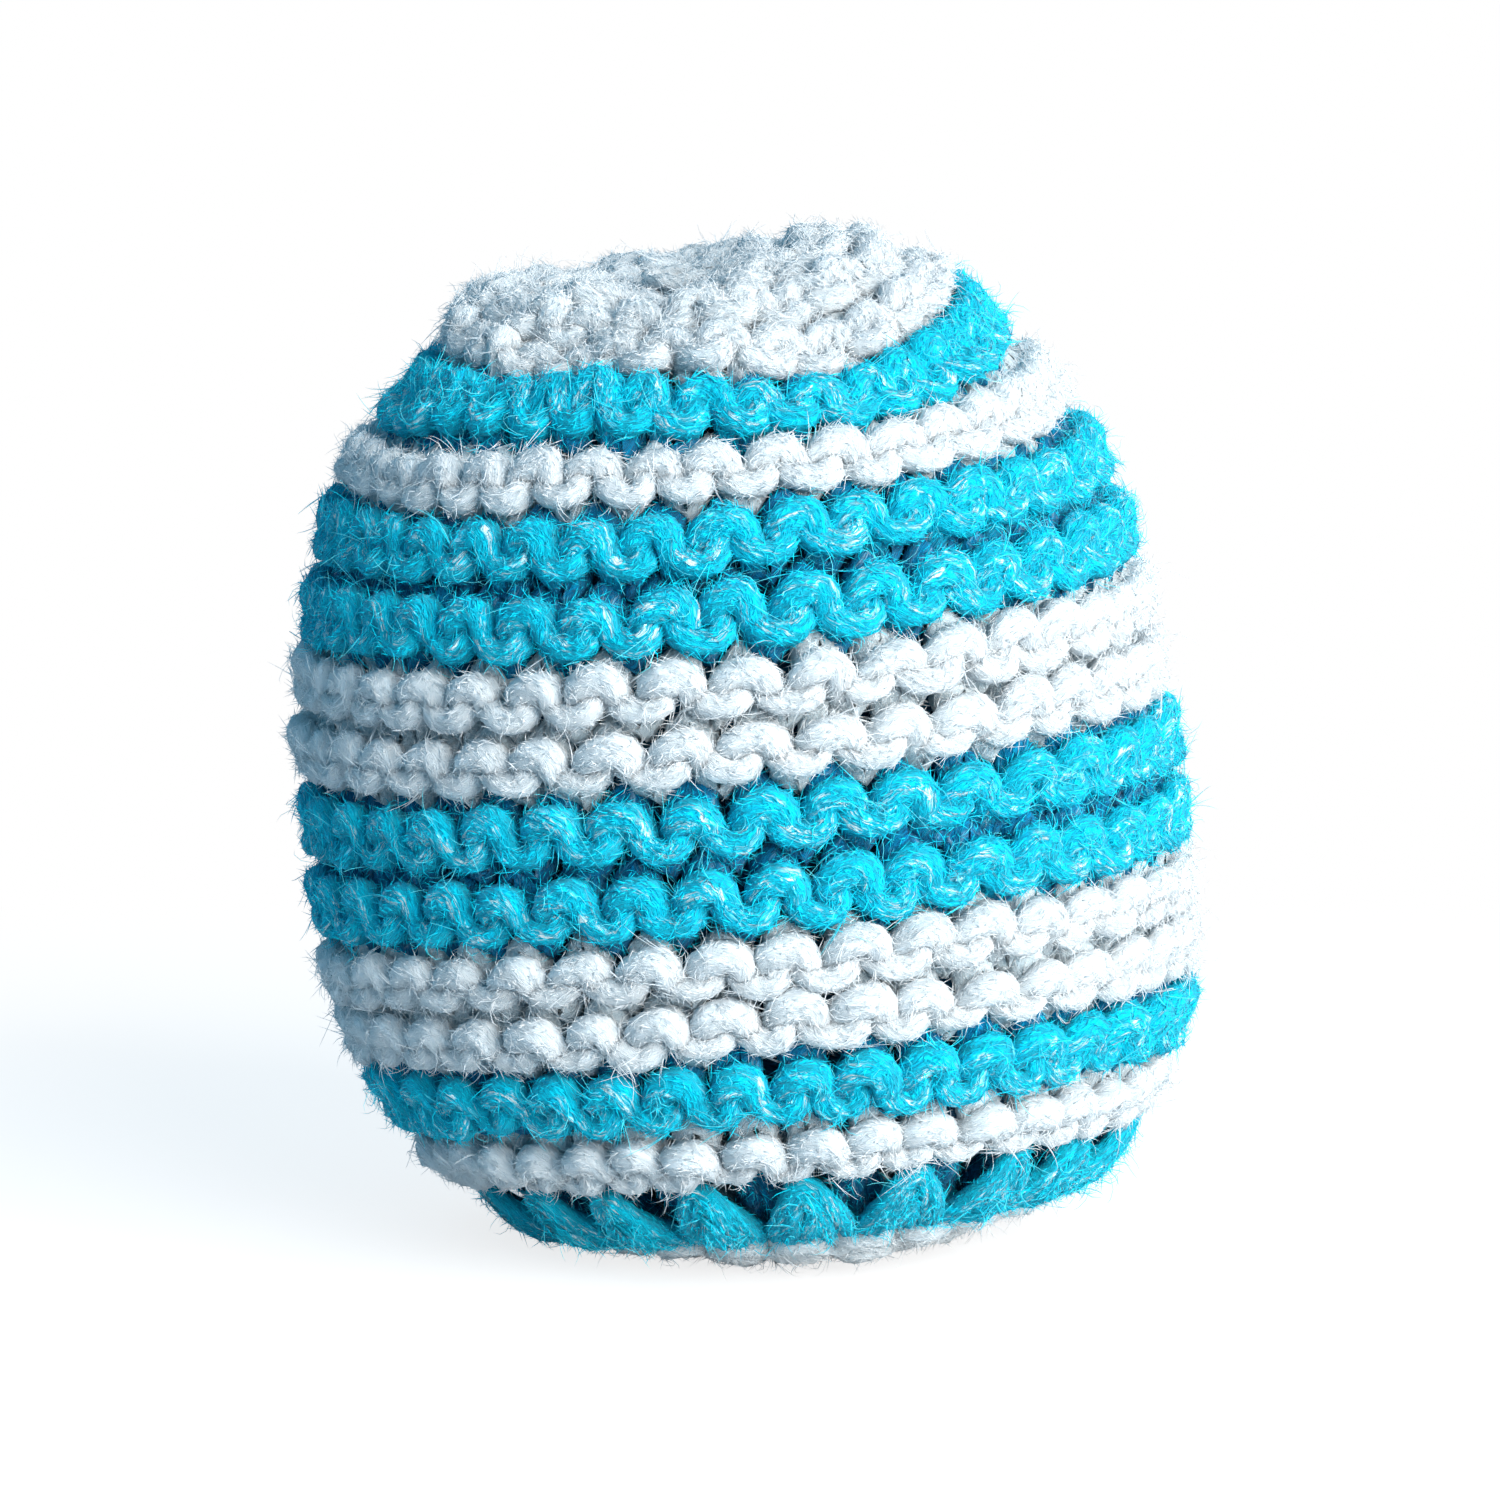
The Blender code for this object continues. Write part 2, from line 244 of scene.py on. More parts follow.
def geometryGraph(name, sizes):       # sizes: the named inputs of each kind
    tree = bpy.data.node_groups.new(name, "GeometryNodeTree")
    kinds = {size: kind for kind, inputs in sizes.items() for size in inputs}
    kinds["Material"] = "Material"
    tree.interface.new_socket("Geometry", in_out="INPUT", socket_type="NodeSocketGeometry")
    for size, kind in kinds.items():
        tree.interface.new_socket(size, in_out="INPUT", socket_type="NodeSocket" + kind)
    tree.interface.new_socket("Geometry", in_out="OUTPUT", socket_type="NodeSocketGeometry")
    graph = Graph(tree)
    source = graph.node("NodeGroupInput")
    graph.given = {size: Number(graph, source.outputs[size]) for size in kinds}
    return graph


def finishTree(graph, geometry):
    real = graph.realised(geometry)
    painted = graph.use("GeometryNodeSetMaterial", {"Geometry": real, "Material": graph.given["Material"]})
    graph.use("NodeGroupOutput", {"Geometry": painted.outputs[0]})
    return graph.tree


def runTree(name, tree, sizes):       # evaluates a tree on an object of its own and keeps the plain mesh
    holder = addObject(name + "_holder", bpy.data.meshes.new(name))
    modifier = holder.modifiers.new("shape", "NODES")
    modifier.node_group = tree
    sockets = {item.name: item.identifier for item in tree.interface.items_tree if item.in_out == "INPUT"}
    for size, value in sizes.items():
        modifier[sockets[size]] = value
    bpy.context.view_layer.update()
    evaluated = holder.evaluated_get(bpy.context.evaluated_depsgraph_get())
    mesh = bpy.data.meshes.new_from_object(evaluated)
    holder.modifiers.remove(modifier)
    bpy.data.objects.remove(holder)
    return mesh


def placePiece(name, mesh, nodes=()):
    mesh.name = name
    while None in list(mesh.materials):
        mesh.materials.pop(index=list(mesh.materials).index(None))
    piece = addObject(name, mesh)
    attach(piece, body)
    if nodes:
        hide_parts(*nodes)
    return piece


camera = {
    "lens": 85.0, "sensor": 36.0, "nearest": 0.01, "farthest": 20.0,
    "elevation": 5.4, "distance": 0.2115, "target": (0.00007, 0.000385, 0.02935),
}


def aim(made, place, direction):
    made.location = place
    made.rotation_mode = "QUATERNION"
    made.rotation_quaternion = direction.to_track_quat("-Z", "Y")


def makeCamera():
    data = bpy.data.cameras.new("camera")
    data.lens, data.sensor_width = camera["lens"], camera["sensor"]
    data.clip_start, data.clip_end = camera["nearest"], camera["farthest"]
    made = addObject("camera", data)
    elevation = math.radians(camera["elevation"])
    back = Vector((0, -math.cos(elevation), math.sin(elevation)))
    aim(made, Vector(camera["target"]) + back * camera["distance"], -back)
    bpy.context.scene.camera = made


makeCamera()

studio = {
    "floorSide": 6.0, "floorColour": (0.64, 0.68, 0.71),
    "seenGlow": 0.80, "seenTone": 0.30,            # what the camera sees of the floor near the bag
    "fade": (0.05, 0.16),                          # and how far out that turns to plain white
    "worldStrength": 0.50, "worldColour": (0.15, 0.62, 0.96),
    "aimedAt": (0, 0, 0.03),
    "lamps": (                                     # place, side, power, colour
        ("key_lamp", (0.35, -0.445, 0.225), 0.48, 8.4, (1.0, 0.93, 0.865)),
        ("back_lamp", (0.22, 0.55, 0.14), 0.45, 1.5, (1.0, 0.98, 0.95)),
    ),
}


def seenRay(graph):                   # 1 where the camera, a gloss or a clear surface looks, 0 for light
    rays = graph.node("ShaderNodeLightPath")
    kinds = ("Is Camera Ray", "Is Glossy Ray", "Is Transmission Ray")
    direct, glossy, clear = (Number(graph, rays.outputs[kind]) for kind in kinds)
    return direct.least(glossy).least(clear)


def makeAir():
    world = bpy.data.worlds.new("studio_air")
    bpy.context.scene.world = world
    graph = emptyGraph(world)
    air = graph.use("ShaderNodeBackground", {"Color": (*studio["worldColour"], 1), "Strength": studio["worldStrength"]})
    white = graph.use("ShaderNodeBackground", {"Color": (1, 1, 1, 1), "Strength": 1.0})
    both = graph.use("ShaderNodeMixShader", {0: seenRay(graph), 1: air.outputs[0], 2: white.outputs[0]})
    graph.use("ShaderNodeOutputWorld", {"Surface": both.outputs[0]})


def makeFloor():
    paper, graph = newMaterial("floor_paper")
    matt = graph.use("ShaderNodeBsdfDiffuse", {"Color": (*studio["floorColour"], 1)})
    glow = graph.use("ShaderNodeEmission", {"Color": (1, 1, 1, 1), "Strength": studio["seenGlow"]})
    bright = graph.use("ShaderNodeBsdfDiffuse", {"Color": (*[studio["seenTone"]] * 3, 1)})
    near = graph.use("ShaderNodeAddShader", {0: glow.outputs[0], 1: bright.outputs[0]})
    far = graph.use("ShaderNodeEmission", {"Color": (1, 1, 1, 1), "Strength": 1.0})
    out = graph.vector("LENGTH", graph.node("ShaderNodeTexCoord").outputs["Object"])
    edge = graph.eased(out, *studio["fade"])
    seen = graph.use("ShaderNodeMixShader", {0: edge, 1: near.outputs[0], 2: far.outputs[0]})
    both = graph.use("ShaderNodeMixShader", {0: seenRay(graph), 1: matt.outputs[0], 2: seen.outputs[0]})
    graph.use("ShaderNodeOutputMaterial", {"Surface": both.outputs[0]})
    mesh = bpy.data.meshes.new("floor")
    half = studio["floorSide"] / 2
    mesh.from_pydata([(-half, -half, 0), (half, -half, 0), (half, half, 0), (-half, half, 0)], [], [(0, 1, 2, 3)])
    mesh.materials.append(paper)
    floor = addObject("floor", mesh)


def makeLamps():
    for name, place, side, power, colour in studio["lamps"]:
        data = bpy.data.lights.new(name, "AREA")
        data.shape, data.size, data.energy, data.color = "DISK", side, power, colour
        aim(addObject(name, data), place, Vector(studio["aimedAt"]) - Vector(place))


bpy.context.scene.view_settings.view_transform = "Standard"
makeAir()
makeFloor()
makeLamps()
print("camera, floor and lamps made")


# linear colours of a strand's shade and body, its painted highlight (glints), the painted shade it takes in the
# recesses, its nap and its loose hairs
yarnFinishes = {
    "cyan_yarn": {
        "shade": (0.0, 0.34, 0.55), "strand": (0.0, 0.575, 0.79), "bright": (0.80, 0.95, 0.97),
        "recessShade": (0.22, 0.38, 0.55), "nap": (0.0, 0.64, 0.84), "hair": (0.12, 0.77, 0.89),
        "sheen": 0.05, "specular": 0.05, "scatter": 0.0},
    "white_yarn": {
        "shade": (0.64, 0.73, 0.79), "strand": (0.735, 0.815, 0.865), "bright": (0.79, 0.85, 0.885),
        "recessShade": (0.88, 0.96, 0.99), "nap": (0.76, 0.84, 0.89), "hair": (0.82, 0.875, 0.915),
        "sheen": 0.0, "specular": 0.04, "scatter": 0.55},
    "tie_thread": {
        "shade": (0.42, 0.43, 0.44), "strand": (0.68, 0.69, 0.71), "bright": (0.80, 0.81, 0.83),
        "recessShade": (0.5, 0.5, 0.5), "sheen": 0.0, "specular": 0.40, "scatter": 0.0},
}
strandPattern = {                     # the fibres that a strand's finish draws, in metres
    "streak": (0.0012, 0.000085), "clump": (0.00096, 0.00030), "patch": (0.0024, 0.0007),     # length, width
    "span": 0.00102, "waveScale": 900, "waveWidth": 1.2, "wave": 1.1,
    "crestShare": 0.30, "patchDrop": 0.18,           # the painted highlight's glints lie together, mostly on the outward-facing crests
    "toneStops": (0.36, 0.50), "glintStops": (0.49, 0.63), "patchStops": (0.50, 0.72), "sunkStops": (0.25, 0.85),
    "bump": 0.00072, "bumpStrength": 0.9, "roughness": 0.58, "scatterDepth": 0.0008,
    "hairRoughness": 0.55, "hairScatterDepth": 0.0003,
}


def yarnSurface(slot, colour, roughness, scatterDepth):
    finish = yarnFinishes[slot]
    return {
        "Base Color": colour, "Roughness": roughness, "Specular IOR Level": finish["specular"],
        "Sheen Weight": finish["sheen"], "Subsurface Weight": finish["scatter"],
        "Subsurface Radius": (1.0, 1.0, 1.0), "Subsurface Scale": scatterDepth,
    }


def makeYarnMaterial(slot):
    finish, pattern = yarnFinishes[slot], strandPattern
    material, graph = newMaterial(slot + "_strand")
    along, sunk, crest = (graph.painted(name) for name in ("along", "sunk", "crest"))
    rim = graph.split(graph.node("ShaderNodeAttribute", attribute_name="rim").outputs["Vector"])
    place = graph.combine(along * pattern["waveScale"], rim[0] * pattern["waveWidth"], rim[1] * pattern["waveWidth"])
    waves = graph.vector("SUBTRACT", graph.noiseNode(place, 1.0, 1.0).outputs["Color"], (0.5, 0.5, 0.5))
    waves = graph.split(waves)

    def streaks(size, detail):                     # noise drawn out along the strand, with a wave in it
        length, width = size
        across = [(rim[side] + waves[side] * pattern["wave"]) * (pattern["span"] / width) for side in (0, 1)]
        return graph.noise(graph.combine(along / length, *across), 1.0, detail, 0.6, 0.6)

    fine, clump = streaks(pattern["streak"], 2.0), streaks(pattern["clump"], 1.0)
    tone = fine * 0.6 + clump * 0.4
    shadeStop, strandStop = pattern["toneStops"]
    lit = graph.ramp(tone, ((shadeStop, finish["shade"]), (strandStop, finish["strand"])))
    # painted highlight: streaks of the bright colour, gathered where the strand faces outwards
    patch = streaks(pattern["patch"], 0.0) + crest * pattern["crestShare"] - pattern["patchDrop"]
    glint = graph.eased(fine * 0.5 + clump * 0.5, *pattern["glintStops"])
    glint = glint * graph.eased(patch, *pattern["patchStops"])
    lit = graph.mixed(glint, lit, finish["bright"])
    # painted shade: the colour darkens towards the recess colour where the strand lies sunk in the knitting
    openStop, sunkStop = pattern["sunkStops"]
    tint = graph.ramp(sunk, ((openStop, (1, 1, 1)), (sunkStop, finish["recessShade"])))
    colour = graph.mixed(1.0, lit, tint, "MULTIPLY")
    surface = yarnSurface(slot, colour, pattern["roughness"], pattern["scatterDepth"])
    graph.principled({**surface, "Normal": graph.bump(tone, pattern["bump"], pattern["bumpStrength"])})
    return material


def makeHairMaterial(slot, part):
    material, graph = newMaterial(slot + "_" + part)
    colour = (*yarnFinishes[slot][part], 1)
    graph.principled(yarnSurface(slot, colour, strandPattern["hairRoughness"], strandPattern["hairScatterDepth"]))
    return material


strandMaterials = {slot: makeYarnMaterial(slot) for slot in yarnFinishes}
hairMaterials = {(slot, part): makeHairMaterial(slot, part)
                 for slot in ("cyan_yarn", "white_yarn") for part in ("nap", "hair")}
print("yarn finishes made")


knitting = {
    "yarnRadius": 0.00088, "plies": 3, "pointsRound": 9, "plyDepth": 0.07, "twistPerMetre": 420.0,
    "roughen": 0.00013, "roughenScale": 1150.0,    # how far a strand's surface wanders from round, and how closely
    "pitch": 0.0042, "ridgePitch": 0.00397,        # of the stitch that the loops below are drawn for
    "pointsPerStitch": 16, "seamGapDegrees": 2.4,
    "frontShare": 0.35,                            # how much closer the points lie in front than at the back
    "pressHeight": 0.00125, "pressSoftness": 0.0012,
    "sunkPerMetre": 570.0,                         # how soon a strand counts as lying in a recess
    "ends": (0.028, 0.972),                        # the first and last run that is knitted, as shares of the outline
    "lumpScales": (160, 90),                       # how closely the knitting heaves, across and up the bag
    "lumpReach": 0.004, "lumpMiddle": 0.56,
    "wanders": {                                   # smooth random waves along a row: waves a stitch, offset, amount
        "across": (0.9, 0.0, 0.10), "height": (0.8, 11.0, 0.14), "run": (0.35, 23.0, 0.00030),
        "lift": (0.7, 37.0, 0.00025), "thickness": (1.1, 51.0, 0.08)},
}
# one stitch of each row, in mm: across, up the bag, out of it, and the strand's share of its thickness
loops = {
    "heads": (
        (-3.30, -1.45, -1.85, 1.44), (-3.08, -1.22, -1.76, 1.30), (-2.88, -0.80, -1.36, 1.04),
        (-2.68, -0.24, -0.84, 0.90), (-2.38, 0.32, -0.28, 0.94), (-1.90, 0.76, 0.0, 1.04),
        (-1.26, 0.94, 0.0, 1.10), (-0.60, 0.96, 0.0, 1.12), (-0.10, 0.68, 0.0, 1.06),
        (0.08, -0.02, -0.16, 0.98), (0.20, -0.70, -0.92, 0.98), (0.44, -1.22, -1.72, 1.30),
        (0.90, -1.45, -1.85, 1.44)),
    "feet": (
        (-0.90, 2.00, -1.85, 1.48), (-0.55, 1.55, -1.74, 1.30), (-0.36, 0.70, -1.30, 1.02),
        (-0.24, 0.06, -0.68, 0.94), (0.06, -0.46, -0.16, 0.90), (0.66, -0.82, 0.0, 0.86),
        (1.36, -0.94, 0.0, 0.84), (1.98, -0.86, 0.0, 0.88), (2.40, -0.52, -0.04, 0.92),
        (2.54, 0.08, -0.48, 0.92), (2.68, 0.80, -1.28, 1.02), (2.94, 1.60, -1.72, 1.30),
        (3.30, 2.00, -1.85, 1.48)),
    "fanLegs": (                      # drawn-in loops: two legs from a narrow top
        (-2.10, -1.60, -1.40, 0.75), (-2.02, -1.95, -0.60, 0.75), (-1.84, -1.85, 0.05, 0.76),
        (-1.58, -1.05, 0.30, 0.74), (-1.16, 0.10, 0.38, 0.70), (-0.68, 1.20, 0.24, 0.64),
        (-0.30, 1.85, -0.02, 0.62), (0.26, 1.85, -0.06, 0.62), (0.64, 1.20, 0.20, 0.64),
        (1.14, 0.10, 0.38, 0.70), (1.56, -1.05, 0.30, 0.74), (1.84, -1.85, 0.05, 0.76),
        (2.02, -1.95, -0.60, 0.75), (2.10, -1.60, -1.40, 0.75)),
    "fanRibs": (                      # a loop inside them
        (-2.10, 1.20, -1.80, 0.85), (-1.70, -0.40, -1.70, 0.85), (-1.36, -1.90, -0.75, 0.80),
        (-1.14, -1.95, 0.10, 0.78), (-0.88, -0.95, 0.52, 0.74), (-0.52, 0.35, 0.52, 0.68),
        (-0.16, 1.45, 0.24, 0.62), (0.14, 1.45, 0.20, 0.62), (0.50, 0.35, 0.50, 0.68),
        (0.88, -0.95, 0.52, 0.74), (1.14, -1.95, 0.10, 0.78), (1.38, -1.90, -0.75, 0.80),
        (1.70, -0.40, -1.70, 0.85), (2.10, 1.20, -1.80, 0.85)),
    "fanHearts": (                    # and the one between those
        (-2.10, 1.40, -1.95, 0.85), (-1.20, -0.60, -1.90, 0.85), (-0.70, -2.00, -0.90, 0.80),
        (-0.42, -1.85, 0.14, 0.80), (-0.26, -0.70, 0.62, 0.78), (-0.12, 0.30, 0.60, 0.72),
        (0.02, 0.80, 0.45, 0.68), (0.20, 0.25, 0.58, 0.72), (0.36, -0.80, 0.62, 0.78),
        (0.52, -1.85, 0.14, 0.80), (0.84, -2.00, -1.00, 0.80), (1.30, -0.60, -1.90, 0.85),
        (2.10, 1.40, -1.95, 0.85)),
}
# where the knitting sags or lifts: angle, run, angle width, run width, run shift, lift
droops = (
    (-1.12, 0.0185, 0.40, 0.0060, 0.0015, 0.0),
    (-1.85, 0.0175, 0.45, 0.0050, -0.0006, 0.0),
    (0.10, 0.0085, 1.10, 0.0055, 0.0, 0.0012),
    (3.05, 0.0085, 0.90, 0.0050, 0.0, 0.0003),
    (-2.10, 0.0150, 0.32, 0.0028, 0.0, -0.0016),
    (3.05, 0.0190, 0.75, 0.0050, 0.0, -0.0013),
    (-1.62, 0.0060, 0.30, 0.0035, 0.0, -0.0009),
    (-2.30, 0.0690, 0.60, 0.0040, 0.0, -0.0006),
    (3.14, 0.0010, 9.00, 0.0080, 0.0, -0.0025),
    (3.00, 0.0148, 0.80, 0.0034, 0.0, 0.0010),
    (0.05, 0.0200, 0.60, 0.0044, -0.0021, -0.0010),
    (0.10, 0.0175, 0.60, 0.0026, 0.0, 0.0011),
    (1.80, 0.0075, 0.85, 0.0060, 0.0, -0.0007),
    (-2.20, 0.0770, 0.80, 0.0060, 0.0014, -0.0006),
    (3.14, 0.0170, 0.80, 0.0036, -0.0022, 0.0),
)


def placeOnBag(graph, outlineShape, angle, run, lift):     # the same place as settled gives, in nodes
    there = {"Curves": outlineShape, "Length": run}
    sample = graph.use("GeometryNodeSampleCurve", there, mode="LENGTH", data_type="FLOAT")
    px, _, pz = graph.split(sample.outputs["Position"])
    tx, _, tz = graph.split(sample.outputs["Tangent"])
    radius = px - lift * tz
    height = pz + lift * tx
    level = height / bag["bellyRadius"]
    swell = 1.0
    for share, waves, turn, climb in bag["lumps"]:
        swell = swell + (angle * waves + level * climb + turn).sine() * share
    x = radius * swell * angle.cosine() - height * bag["slipShare"]
    reach = radius * swell * angle.sine() + bag["slumpRadius"]
    swing = height / bag["slumpRadius"]
    bent = graph.combine(x, reach * swing.cosine() - bag["slumpRadius"], reach * swing.sine())
    tilted = {"Vector": bent, "Angle": -math.radians(bag["leanDegrees"])}
    turned = graph.use("ShaderNodeVectorRotate", tilted, rotation_type="Y_AXIS").outputs[0]
    return graph.vector("ADD", turned, bag["stand"])


def strandSurface(graph, path, thickness, radius):         # a plied strand along the path, with what its finish reads
    around = {"Resolution": knitting["pointsRound"], "Radius": 1.0}
    ring = graph.use("GeometryNodeCurvePrimitiveCircle", around, mode="RADIUS").outputs[0]
    position = graph.field("Position")
    ring = graph.storeVector(ring, "rim", position)
    ply = (Number(graph, graph.field("Index")) * (2 * math.pi * knitting["plies"] / knitting["pointsRound"])).cosine()
    ring = graph.moved(ring, Position=graph.scaled(position, radius * (ply * -knitting["plyDepth"] + 1.0)))
    drawn = {"Curve": path, "Profile Curve": ring, "Scale": thickness, "Fill Caps": True}
    surface = graph.use("GeometryNodeCurveToMesh", drawn).outputs[0]
    outwards = graph.field("Normal")
    uneven = graph.noise(graph.field("Position"), knitting["roughenScale"], 1.0) - 0.5
    roughened = uneven * radius * (2.4 * knitting["roughen"] / knitting["yarnRadius"])
    surface = graph.moved(surface, Offset=graph.scaled(outwards, roughened))
    surface = graph.store(surface, "crest", graph.vector("DOT_PRODUCT", outwards, graph.fromMiddle()))
    return graph.smoothShaded(surface)


def makeKnittingTree():
    graph = geometryGraph("knitted_ridges", {
        "Object": ("Outline", "Loops"), "Int": ("Ridges", "Rows Each", "Loop Kind"),
        "Float": ("First Run", "Last Run", "Top Stitches", "Bottom Stitches", "Yarn Radius", "Loop Height",
                  "Loop Depth", "Lumps", "Unevenness", "Seed", "Seam Angle", "Seam Gap", "Press Height"),
    })
    given = graph.given
    drawn = graph.smoothCurve(graph.shapeOf(given["Loops"]))
    line = graph.use("GeometryNodeCurvePrimitiveLine", {"Start": (0, 0, 0), "End": (1, 0, 0)}).outputs[0]
    every = {"Geometry": line, "Amount": given["Ridges"] * given["Rows Each"]}
    copies = graph.use("GeometryNodeDuplicateElements", every, domain="SPLINE")
    rows = graph.store(copies.outputs[0], "row", copies.outputs[1], "FLOAT", "CURVE")
    row = graph.stored("row")
    ridge = ((row + 0.01) / given["Rows Each"]).floor()
    foot = row - ridge * given["Rows Each"]                # 0 for a row of heads, 1 for a row of feet
    downBand = (ridge + 0.5) / given["Ridges"]
    stitches = (given["Top Stitches"] + (given["Bottom Stitches"] - given["Top Stitches"]) * downBand + 0.5).floor()
    points = {"Curve": rows, "Count": stitches * knitting["pointsPerStitch"] + 1}
    rows = graph.use("GeometryNodeResampleCurve", points, mode="COUNT").outputs[0]

    share = Number(graph, graph.node("GeometryNodeSplineParameter").outputs["Factor"])
    rows = graph.store(rows, "stitch", share * stitches)   # kept, because a factor changes once the row is bent
    s = graph.stored("stitch")
    whole = (s + 0.0001).floor()
    part = s - whole
    part = part + (part * (2 * math.pi)).sine() * (knitting["frontShare"] / (2 * math.pi))
    kind = given["Loop Kind"] * 2 + foot
    sample = {"Curves": drawn, "Factor": part, "Value": graph.field("Radius"), "Curve Index": kind}
    loop = graph.use("GeometryNodeSampleCurve", sample, mode="FACTOR", data_type="FLOAT", use_all_curves=False)
    rows = graph.storeVector(rows, "loop", loop.outputs["Position"])
    rows = graph.store(rows, "thickness", loop.outputs["Value"])
    lx, ly, lz = graph.split(graph.storedVector("loop"))

    def wander(what, unevenness):
        frequency, offset, amount = knitting["wanders"][what]
        place = graph.combine(s * frequency, row * 7.31 + given["Seed"] + offset, given["Seed"] * 1.7)
        return (graph.noise(place) - 0.5) * 3.0 * unevenness * amount

    uneven, gap = given["Unevenness"], given["Seam Gap"]
    across = whole + 0.5 + lx / knitting["pitch"] + wander("across", uneven)
    angle = given["Seam Angle"] + gap + across / stitches * (2 * math.pi - gap * 2)
    height = given["Loop Height"] * (wander("height", uneven) + 1.0)
    ridgeRun = given["First Run"] + (given["Last Run"] - given["First Run"]) * downBand
    run = ridgeRun - ly * height + wander("run", uneven)
    lift = lz * given["Loop Depth"] - given["Yarn Radius"] + wander("lift", uneven)
    reach, (wide, tall) = run + knitting["lumpReach"], knitting["lumpScales"]
    ground = graph.combine(angle.cosine() * reach * wide, angle.sine() * reach * wide, run * tall)
    lift = lift + (graph.noise(ground, 1.0, 1.0) - knitting["lumpMiddle"]) * given["Lumps"]
    for place, at, width, runWidth, shift, raised in droops:
        near = ((angle - place).cosine() * 2 - 2) / width ** 2 - ((run - at) / runWidth) ** 2
        weight = graph.math("EXPONENT", near)
        run = run + weight * shift
        lift = lift + weight * raised
    wx, wy, wz = graph.split(placeOnBag(graph, graph.shapeOf(given["Outline"]), angle, run, lift))
    pressed = graph.math("SMOOTH_MAX", wz, given["Press Height"], knitting["pressSoftness"])     # flat on the floor
    rows = graph.moved(rows, Position=graph.combine(wx, wy, pressed))
    rows = graph.store(rows, "sunk", (lz * -knitting["sunkPerMetre"]).least(0.0).most(1.0))
    rows = graph.storeVector(rows, "flow", graph.field("Tangent"))
    length = Number(graph, graph.node("GeometryNodeSplineParameter").outputs["Length"])
    rows = graph.store(rows, "along", length + row * 0.73 + given["Seed"] * 3.1)
    twist = length * knitting["twistPerMetre"] + row * 1.3
    rows = graph.use("GeometryNodeSetCurveTilt", {"Curve": rows, "Tilt": twist}).outputs[0]
    thick = graph.stored("thickness") * (wander("thickness", 1.0) + 1.0)
    return finishTree(graph, strandSurface(graph, rows, thick, given["Yarn Radius"]))


def makeGuide(name, rows):                                 # a curve object that a tree reads its shape from
    curve = bpy.data.curves.new(name, "CURVE")
    curve.dimensions = "3D"
    for row in rows:
        spline = curve.splines.new("POLY")
        spline.points.add(len(row) - 1)
        for point, (x, y, z, thickness) in zip(spline.points, row):
            point.co, point.radius = (x, y, z, 1), thickness
    return addObject(name, curve)


outlineGuide = makeGuide("outline_guide", [[(radius, 0, height, 1) for radius, height in outline]])
loopGuide = makeGuide("loop_guide", [[(x / 1000, y / 1000, z / 1000, thickness) for x, y, z, thickness in row]
                                     for row in loops.values()])
knittingTree = makeKnittingTree()

# slot, loop kind, ridges, end as a share of the outline, stitches at its top and bottom, unevenness
stripes = {
    "crown_cap": ("white_yarn", 0, 4, 0.192, 6, 34, 1.2),
    "cyan_stripe_top": ("cyan_yarn", 0, 1, 0.247, 40, 40, 1.4),
    "white_stripe_top": ("white_yarn", 0, 1, 0.291, 40, 40, 1.1),
    "cyan_stripe_upper": ("cyan_yarn", 0, 2, 0.392, 40, 40, 1.0),
    "white_stripe_upper": ("white_yarn", 0, 2, 0.479, 40, 40, 1.0),
    "cyan_stripe_lower": ("cyan_yarn", 0, 2, 0.579, 40, 40, 1.0),
    "white_stripe_lower": ("white_yarn", 0, 2, 0.661, 40, 40, 1.0),
    "cyan_stripe_bottom": ("cyan_yarn", 0, 1, 0.720, 40, 40, 1.0),
    "white_stripe_bottom": ("white_yarn", 0, 1, 0.767, 38, 38, 1.0),
    "cyan_stripe_base": ("cyan_yarn", 1, 1, 0.835, 19, 19, 0.9),
    "base_cap": ("white_yarn", 0, 3, 1.0, 24, 5, 1.6),
}
lumps = {                             # how far the knitting heaves, in metres
    "crown_cap": 0.0030, "base_cap": 0.0, "cyan_stripe_base": 0.0, "others": 0.0008,
}


def makeStripes():
    made = {}
    top, lowest = knitting["ends"]
    for number, (name, values) in enumerate(stripes.items()):
        slot, kind, ridges, end, topStitches, bottomStitches, uneven = values
        bottom = min(end, lowest)
        mesh = runTree(name + "_knit", knittingTree, {
            "Outline": outlineGuide, "Loops": loopGuide, "Loop Kind": kind, "Ridges": ridges, "Rows Each": 2 + kind,
            "First Run": top * outlineLength, "Last Run": bottom * outlineLength,
            "Top Stitches": float(topStitches), "Bottom Stitches": float(bottomStitches),
            "Loop Height": (bottom - top) * outlineLength / ridges / knitting["ridgePitch"], "Loop Depth": 1.0,
            "Yarn Radius": knitting["yarnRadius"], "Lumps": lumps.get(name, lumps["others"]),
            "Unevenness": uneven, "Seed": 3.7 + 5.3 * number,
            "Seam Angle": math.radians(bag["seamDegrees"]), "Seam Gap": math.radians(knitting["seamGapDegrees"]),
            "Press Height": knitting["pressHeight"], "Material": strandMaterials[slot],
        })
        made[name] = placePiece(name + "_knit", mesh, [name])
        print(name, len(mesh.polygons), "faces")
        top = bottom
    return made


stripePieces = makeStripes()


laidStrand = {"pointGap": 0.55, "sunk": 0.15, "waveScale": 700, "thinnest": 0.88, "swell": 0.24}


